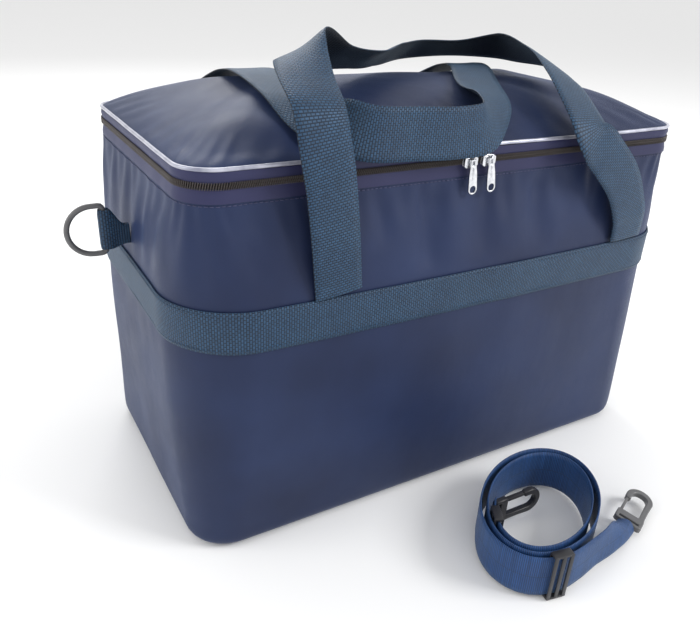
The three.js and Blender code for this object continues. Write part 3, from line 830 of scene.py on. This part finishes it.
FRONT_HANDLE = stations_mm([
    (-119, -127, 199, 1, 0, 0), (-124, -129.5, 237, 1, 0, 0), (-129, -130, 273, 1, 0, 0),
    (-134, -130.5, 297, 1, 0, 0), (-136, -124, 320, 1, 0, 0), (-132, -98, 334, 1, 0, 0.1),
    (-122, -70, 344.5, 0.9, -0.2, 0.4), (-104, -52, 344.5, 0.4, -0.5, 0.75),
    (-80, -40, 336, 0.1, -0.8, 0.5), (-40, -18, 332, 0, -0.9, 0.4), (0, 14, 331, 0, -0.85, 0.5),
    (40, 36, 332, 0, -0.85, 0.5), (84, 36, 333, -0.1, -0.85, 0.45), (116, 12, 336, -0.5, -0.6, 0.6),
    (113, -39, 334, -0.85, -0.3, 0.4), (98, -85, 323, -0.95, 0, 0.25),
    (91, -118, 303, -1, 0, 0.1), (94, -129, 288.5, -1, 0, 0), (112, -131, 272, -1, 0, 0),
    (135, -131, 250, -1, 0, 0), (151, -130, 224, -1, 0, 0), (156, -128.2, 211, -1, 0, 0),
    (157, -127, 199, -1, 0, 0),
])
REAR_HANDLE = stations_mm([
    (108, 116.5, 293, 1, 0, 0), (104, 92, 304, 1, 0, 0), (92, 45, 318, 1, 0, 0),
    (72, 0, 322.5, 1, 0, 0), (42, -50, 317, 1, 0, 0), (18, -96, 312, 0.95, 0.1, -0.3),
    (-2, -120.5, 301, 0.4, -0.1, -0.9), (-28, -124, 298.5, 0, 0, -1), (-62, -122.5, 299.5, 0, 0, -1),
    (-96, -121.5, 301.5, -0.1, 0, -1), (-116, -107, 306.5, -0.7, 0, -0.7),
    (-122, -84, 307.5, -0.95, 0, -0.2), (-124, -50, 317, -1, 0, 0), (-122, 0, 322.5, -1, 0, 0),
    (-118, 45, 318, -1, 0, 0), (-116, 92, 304, -1, 0, 0), (-116, 116.5, 293, -1, 0, 0),
])
REAR_LEG_X = (-0.116, 0.108)
LEG_TOP = 0.278


def strip_object(name, stations, width, count, slot, body, held, rests_on, nodes=(), **shape):
    """A strip of webbing. inner names another material for one of its two faces.

    The handles use a darker one there, which stands in for the shade on their inner faces.
    """
    inner, inner_first = shape.pop("inner", None), shape.pop("inner_first", False)
    verts, faces, uvs, length = webbing_mesh(stations, width, count, **shape)
    strip = make_object(name, verts, faces, slot, body, uvs)
    if inner:
        strip.data.materials.append(MATERIALS[inner])
        for k, polygon in enumerate(strip.data.polygons):
            # the faces on this side take the painted-shade material
            if (k % SECTION_POINTS < SECTION_POINTS // 2) == inner_first:
                polygon.material_index = 1
    if nodes:
        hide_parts(*nodes)
    return strip


def build_band():
    """The webbing band sewn round the waist."""
    middle = (BAND_LOW + BAND_HIGH) / 2
    stations = []
    for u in np.linspace(0, AROUND, 240):
        point = wall_surface(u, middle, 1.0 * MM)[0]
        stations.append((*point, 0, 0, 1))
    verts, faces, uvs, length = webbing_mesh(stations, BAND_HIGH - BAND_LOW, 700)
    band = make_object("waist_webbing", verts, faces, "webbing", "bag", uvs)
    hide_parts("waist_band")


def build_handles():
    """The two handles, and the rear handle's sewn legs."""
    strip_object(
        "front_handle_webbing", FRONT_HANDLE, HANDLE_WIDTH, 420, "webbing", "front_handle",
        "folded", ["lid_cover_cloth"], ["front_handle"], cup=0.6 * MM, inner="webbing_painted_shade",
    )
    strip_object(
        "rear_handle_webbing", REAR_HANDLE, HANDLE_WIDTH, 380, "webbing", "rear_handle",
        "folded", ["lid_cover_cloth"], ["rear_handle"], cup=0.5 * MM, inner="webbing_painted_shade",
        inner_first=True,
    )
    for side, x in zip(("left", "right"), REAR_LEG_X):
        stations = [
            (x, wall_surface(0, z)[0].y + 1.2 * MM, z, 1, 0, 0)
            for z in np.linspace(BAND_HIGH - 8 * MM, LEG_TOP, 9)
        ]
        stations += [(x, 0.1215, 0.285, 1, 0, 0), (x, 0.1165, 0.293, 1, 0, 0)]
        verts, faces, uvs, length = webbing_mesh(stations, HANDLE_WIDTH, 90)
        leg = make_object("rear_leg_webbing_" + side, verts, faces, "webbing", None, uvs)
        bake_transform(leg)
        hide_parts("rear_handle_leg_" + side)


build_band()
build_handles()

# ---- D-rings ------------------------------------------------------------------------------

RING_BAR_X = 0.240
RING_MIDDLE = 0.219
RING_WIRE = 2 * MM
RING_HALF = 17.5 * MM
RING_STRAIGHT = 8 * MM


def build_ring(side, direction):
    """A plastic D-ring and the webbing tab folded round its straight bar."""
    corner = 3 * MM
    path = [(0, z) for z in np.linspace(-RING_HALF + corner, RING_HALF - corner, 12)]
    for angle in np.radians([150, 120, 90]):
        path.append((corner + corner * math.cos(angle), RING_HALF - corner + corner * math.sin(angle)))
    path.append((RING_STRAIGHT, RING_HALF))
    for angle in np.radians(np.arange(82, -83, -8)):
        path.append((RING_STRAIGHT + RING_HALF * math.cos(angle), RING_HALF * math.sin(angle)))
    path.append((RING_STRAIGHT, -RING_HALF))
    for angle in np.radians([270, 240, 210]):
        path.append((corner + corner * math.cos(angle), corner - RING_HALF + corner * math.sin(angle)))
    points = [(direction * (RING_BAR_X + x), 0, RING_MIDDLE + z) for x, z in path]
    verts, faces = tube(points, RING_WIRE, 14, True, up=(0, 1, 0))
    ring = make_object("ring_" + side, verts, faces, "plastic_grey", side + "_ring")
    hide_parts("d_ring_" + side)

    reach = RING_WIRE + 0.3 * MM + WEBBING / 2
    root = HALF_WIDTH + 11 * MM
    line = [(root - 3 * MM, -1.2 * MM), (root + 5 * MM, -2.1 * MM), (RING_BAR_X - 3 * MM, -reach)]
    for angle in np.radians(np.linspace(-90, 90, 7)):
        line.append((RING_BAR_X + reach * math.cos(angle), reach * math.sin(angle)))
    line += [(RING_BAR_X - 3 * MM, reach), (root + 5 * MM, 2.1 * MM), (root - 3 * MM, 1.2 * MM)]
    stations = [(direction * x, y, RING_MIDDLE, 0, 0, 1) for x, y in line]
    tab = strip_object(
        "ring_tab_" + side, stations, BAND_HIGH - BAND_LOW - 1 * MM, 60, "webbing", "bag",
        "folded", ["bag_shell"], ["d_ring_tab_" + side],
    )
    for vertex in tab.data.vertices:
        near_wall = 1 - smooth_step(abs(vertex.co.x), root, RING_BAR_X - 3 * MM)
        drop = vertex.co.z - (RING_MIDDLE - 10 * MM)
        vertex.co.z -= drop * 0.5 * near_wall


for ring_side, ring_direction in (("left", -1), ("right", 1)):
    build_ring(ring_side, ring_direction)

# ---- Flat plates with holes ---------------------------------------------------------------


def arc(cx, cy, radius, start, end, steps=16):
    """Points along a circle, from one angle to another in degrees."""
    return [
        (cx + radius * math.cos(math.radians(a)), cy + radius * math.sin(math.radians(a)))
        for a in np.linspace(start, end, steps)
    ]


def plate(outlines, thickness, bevel):
    """Vertices and faces of a flat plate with rounded edges; outlines after the first are holes."""
    curve = bpy.data.curves.new("plate", "CURVE")
    curve.dimensions = "2D"
    curve.fill_mode = "BOTH"
    curve.extrude = thickness / 2 - bevel
    curve.bevel_depth = bevel
    curve.bevel_resolution = 2
    curve.offset = -bevel
    for outline in outlines:
        spline = curve.splines.new("POLY")
        spline.points.add(len(outline) - 1)
        for point, (x, y) in zip(spline.points, outline):
            point.co = (x, y, 0, 1)
        spline.use_cyclic_u = True
    holder = bpy.data.objects.new("plate", curve)
    bpy.context.scene.collection.objects.link(holder)
    mesh = bpy.data.meshes.new_from_object(
        holder.evaluated_get(bpy.context.evaluated_depsgraph_get())
    )
    verts = [v.co.copy() for v in mesh.vertices]
    faces = [list(p.vertices) for p in mesh.polygons]
    bpy.data.objects.remove(holder)
    bpy.data.curves.remove(curve)
    bpy.data.meshes.remove(mesh)
    return verts, faces


def placed(parts, matrix=Matrix()):
    """Several parts, each (verts, faces, matrix), as one list of vertices and faces."""
    verts, faces = [], []
    for part_verts, part_faces, place in parts:
        base = len(verts)
        verts.extend(matrix @ (place @ Vector(v)) for v in part_verts)
        faces.extend([base + k for k in face] for face in part_faces)
    return verts, faces


def shade_by_angle(obj, degrees=40):
    obj.data.set_sharp_from_angle(angle=math.radians(degrees))


# ---- Zip sliders and pulls ----------------------------------------------------------------

PULL_WIDTH = 7.5 * MM
PULL_LENGTH = 25 * MM
SLIDER_Y = -HALF_DEPTH - 0.3 * MM


def build_slider(side, x):
    """A slider: two shield-shaped plates, a post between them and a bridge for the pull."""
    shield = [(-5.8, 3.0), (-4.2, 4.4), (3.0, 4.1), (5.8, 2.6), (5.8, -2.6), (3.0, -4.1),
              (-4.2, -4.4), (-5.8, -3.0)]
    shield = [(px * MM, pz * MM) for px, pz in shield]
    face, face_quads = plate([shield], 1.5 * MM, 0.45 * MM)
    upright = Matrix.Rotation(math.pi / 2, 4, "X")
    back, back_quads = plate([[(px * 0.9, pz * 0.9) for px, pz in shield]], 1.0 * MM, 0.3 * MM)
    post = rounded_box((5 * MM, 2.4 * MM, 1.6 * MM), 0.4 * MM)
    arch = [
        (0, -2.2 * MM * math.cos(a) - 0.8 * MM, 3.6 * MM * math.sin(a + math.pi / 2))
        for a in np.linspace(-math.pi / 2, math.pi / 2, 12)
    ]
    bridge = tube(arch, 0.7 * MM, 8, False, up=(1, 0, 0))
    parts = [
        (face, face_quads, Matrix.Translation((0, -3.4 * MM, 0)) @ upright),
        (back, back_quads, Matrix.Translation((0, -0.6 * MM, 0)) @ upright),
        (*post, Matrix.Translation((0, -2.0 * MM, 0))),
        (*bridge, Matrix.Translation((0, -3.0 * MM, 0.4 * MM))),
    ]
    verts, faces = placed(parts, Matrix.Translation((x, SLIDER_Y, ZIP_Z)))
    slider = make_object("slider_" + side, verts, faces, "nickel", side + "_slider")
    shade_by_angle(slider)
    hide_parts("zip_slider_" + side)


def build_pull(side, x, lean):
    """A long flat pull with a round eye at its end and a narrow neck on the bridge."""
    half = PULL_WIDTH / 2
    low = -PULL_LENGTH + half
    outline = [(-half * 0.62, 0.4 * MM), (-half * 0.7, -5 * MM), (-half * 0.9, -11 * MM), (-half, low)]
    outline += arc(0, low, half, 180, 360)[1:-1]
    outline += [(half, low), (half * 0.9, -11 * MM), (half * 0.7, -5 * MM), (half * 0.62, 0.4 * MM)]
    eye = arc(0, low, 2.5 * MM, 0, 345, 24)
    slot = [(-1.0 * MM, -0.9 * MM), (1.0 * MM, -0.9 * MM), (1.0 * MM, -4.0 * MM), (-1.0 * MM, -4.0 * MM)]
    verts, faces = plate([outline, eye, slot], 1.5 * MM, 0.35 * MM)
    stand = Matrix.Rotation(math.pi / 2, 4, "X")
    rib = rounded_box((1.2 * MM, 0.5 * MM, 9 * MM), 0.2 * MM)
    parts = [
        (verts, faces, stand),
        (*rib, Matrix.Translation((0, -0.8 * MM, -10 * MM))),
    ]
    place = Matrix.Translation((x, SLIDER_Y - 5.7 * MM, ZIP_Z + 1.9 * MM))
    verts, faces = placed(parts, place @ Matrix.Rotation(lean, 4, "Y"))
    pull = make_object("pull_" + side, verts, faces, "nickel", side + "_pull")
    shade_by_angle(pull)
    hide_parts("zip_pull_" + side)


for slider_side, slider_x, pull_lean in (("left", -0.012, -0.10), ("right", 0.004, -0.14)):
    build_slider(slider_side, slider_x)
    build_pull(slider_side, slider_x, pull_lean)

# ---- Shoulder strap -----------------------------------------------------------------------

STRAP_MIDDLE = 20.7 * MM
ROLL_X, ROLL_Y = 20 * MM, -212 * MM
ROLL_LONG, ROLL_SHORT = 68 * MM, 46 * MM
ROLL_STEP = 5.4 * MM
ROLL_LEAN, ROLL_START, ROLL_TURNS = 0.55, -2.05, 2.35
STEPS_PER_TURN = 22


def roll_point(turn):
    """The roll is an oval that shrinks as it turns, starting where the free end leaves it."""
    angle = ROLL_START - 2 * math.pi * turn
    u = (ROLL_LONG - ROLL_STEP * turn) * math.cos(angle)
    v = (ROLL_SHORT - ROLL_STEP * turn) * math.sin(angle)
    c, s = math.cos(ROLL_LEAN), math.sin(ROLL_LEAN)
    return ROLL_X + u * c - v * s, ROLL_Y + u * s + v * c


def on_roll(turn, inwards=0.0):
    """A matrix that lays a piece made along X, standing on edge, on the roll at one turn."""
    (ax, ay), (bx, by) = roll_point(turn - 0.01), roll_point(turn + 0.01)
    heading = math.atan2(by - ay, bx - ax) - inwards
    return Matrix.Translation((*roll_point(turn), STRAP_MIDDLE)) @ Matrix.Rotation(heading, 4, "Z")


def build_strap():
    """The shoulder strap: its free end, folded together at the hook, and then the roll."""
    stations = stations_mm([
        (85, -244, 7.5, -0.25, 0.9, 0.25), (76, -247.5, 10, -0.2, 0.8, 0.5),
        (60, -253, 16, 0, 0.45, 0.9), (38, -259, 20.7, 0, 0.05, 1),
    ])
    for i in range(round(ROLL_TURNS * STEPS_PER_TURN) + 1):
        stations.append((*roll_point(i / STEPS_PER_TURN), STRAP_MIDDLE, 0, 0, 1))
    strip_object(
        "shoulder_strap_webbing", stations, HANDLE_WIDTH, 620, "strap_webbing", "shoulder_strap",
        "laid", ["floor"], ["strap_webbing"], gather=(0.07, 0.42),
    )


def build_buckle(name, node, turn):
    """A slide buckle: a rounded frame with the webbing through it and a bar across the middle."""
    frame_side = rounded_box((15.5 * MM, 6.8 * MM, 2.4 * MM), 0.9 * MM)
    face_bar = rounded_box((3.2 * MM, 1.3 * MM, 40 * MM), 0.5 * MM)
    parts = [
        (*frame_side, Matrix.Translation((0, 0, 19.3 * MM))),
        (*frame_side, Matrix.Translation((0, 0, -19.3 * MM))),
    ]
    for along in (-6.2, 0, 6.2):
        for out in (-2.8, 2.8):
            parts.append((*face_bar, Matrix.Translation((along * MM, out * MM, 0))))
    verts, faces = placed(parts, on_roll(turn))
    buckle = make_object(name, verts, faces, "plastic_black", "shoulder_strap")
    shade_by_angle(buckle)
    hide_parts(node)


HOOK_HALF = 11 * MM
HOOK_WALL = 5 * MM
HOOK_LENGTH = 46 * MM
HOOK_THICKNESS = 5 * MM


def build_hook(name, node, gate_body, slot, place):
    """A moulded snap hook with a wide webbing end, a round nose and a springy gate."""
    inside = HOOK_HALF - HOOK_WALL
    nose = HOOK_LENGTH - HOOK_HALF
    outline = [(0, -HOOK_HALF + 1.5 * MM), (1.5 * MM, -HOOK_HALF), (9 * MM, -HOOK_HALF)]
    outline += [(14 * MM, -HOOK_HALF + 0.6 * MM), (24 * MM, -HOOK_HALF + 0.6 * MM)]
    outline += arc(nose, 0, HOOK_HALF, -90, 90, 22)
    outline += [(nose - 5 * MM, HOOK_HALF - 0.4 * MM), (nose - 6 * MM, HOOK_HALF - 1.5 * MM)]
    outline += [(nose - 6 * MM, inside + 1 * MM), (nose - 5 * MM, inside)]
    outline += arc(nose, 0, inside, 90, -90, 18)
    outline += [(13 * MM, -inside), (12 * MM, -inside + 1 * MM), (12 * MM, HOOK_HALF - 1 * MM)]
    outline += [(11 * MM, HOOK_HALF), (1.5 * MM, HOOK_HALF), (0, HOOK_HALF - 1.5 * MM)]
    opening = [(3 * MM, -8 * MM), (3 * MM, 8 * MM), (5.2 * MM, 8 * MM), (5.2 * MM, -8 * MM)]
    verts, faces = plate([outline, opening], HOOK_THICKNESS, 0.9 * MM)
    hook = make_object(name, [place @ v for v in verts], faces, slot, "shoulder_strap")
    shade_by_angle(hook)
    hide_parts(node)
    start, end = 12.4 * MM, nose - 6.4 * MM
    tongue = rounded_box((end - start, 2.3 * MM, HOOK_THICKNESS - 1 * MM), 0.6 * MM)
    spot = place @ Matrix.Translation(((start + end) / 2, HOOK_HALF - HOOK_WALL / 2, 0))
    gate = make_object(name + "_tongue", [spot @ v for v in tongue[0]], tongue[1], slot, gate_body)
    shade_by_angle(gate)
    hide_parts(node + "_gate")


build_strap()
build_buckle("slide_buckle_outer", "strap_buckle_outer", 0.07)
build_buckle("slide_buckle_inner", "strap_buckle_inner", 2.3)
outer_hook_place = (
    Matrix.Translation((86.5 * MM, -243.4 * MM, 8 * MM))
    @ Matrix.Rotation(0.42, 4, "Z") @ Matrix.Rotation(0.2, 4, "X")
)
inner_hook_place = on_roll(ROLL_TURNS + 0.022, 0.75) @ Matrix.Rotation(math.pi / 2, 4, "X")
build_hook("snap_hook_outer", "hook_outer", "outer_gate", "plastic_grey", outer_hook_place)
build_hook("snap_hook_inner", "hook_inner", "inner_gate", "plastic_black", inner_hook_place)

# ---- Stitching ----------------------------------------------------------------------------

STITCH = rounded_box((2.4 * MM, 0.55 * MM, 0.55 * MM), 0.2 * MM, 1)
STITCH_PITCH = 3.4 * MM


def stitch_frame(point, along, out):
    """A matrix whose X runs along the stitch and whose Y points out of the cloth."""
    along = Vector(along).normalized()
    out = (Vector(out) - Vector(out).dot(along) * along).normalized()
    matrix = Matrix((along, out, along.cross(out))).transposed().to_4x4()
    return Matrix.Translation(point) @ matrix


def stitches_round(z, proud):
    """Places for a line of stitches all round the body at a height."""
    places = []
    for u in even_steps(z, STITCH_PITCH):
        point, normal = wall_surface(u, z, proud)
        along = (-normal.y, normal.x, 0)
        places.append(stitch_frame(point, along, normal))
    return places


def build_stitches():
    """The stitching under the zip, and along both edges of the waist band."""
    scatter(
        "seam_stitches", STITCH, stitches_round(SEAM_Z - 3.6 * MM, 0.25 * MM), "nylon", "bag",
        look="thread",
    )
    edges = stitches_round(BAND_HIGH - 2.2 * MM, 1.75 * MM) + stitches_round(
        BAND_LOW + 2.2 * MM, 1.75 * MM
    )
    scatter("band_stitches", STITCH, edges, "webbing", "bag", look="thread_teal")


build_stitches()

# ---- Pieces that keep their CAD shape -----------------------------------------------------

for node_name, look in (
    ("rim_binding", "binding"), ("lid_binding", "binding"), ("lid_liner", "liner"),
):
    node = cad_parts[node_name]
    node.data.materials.clear()
    node.data.materials.append(MATERIALS[look])
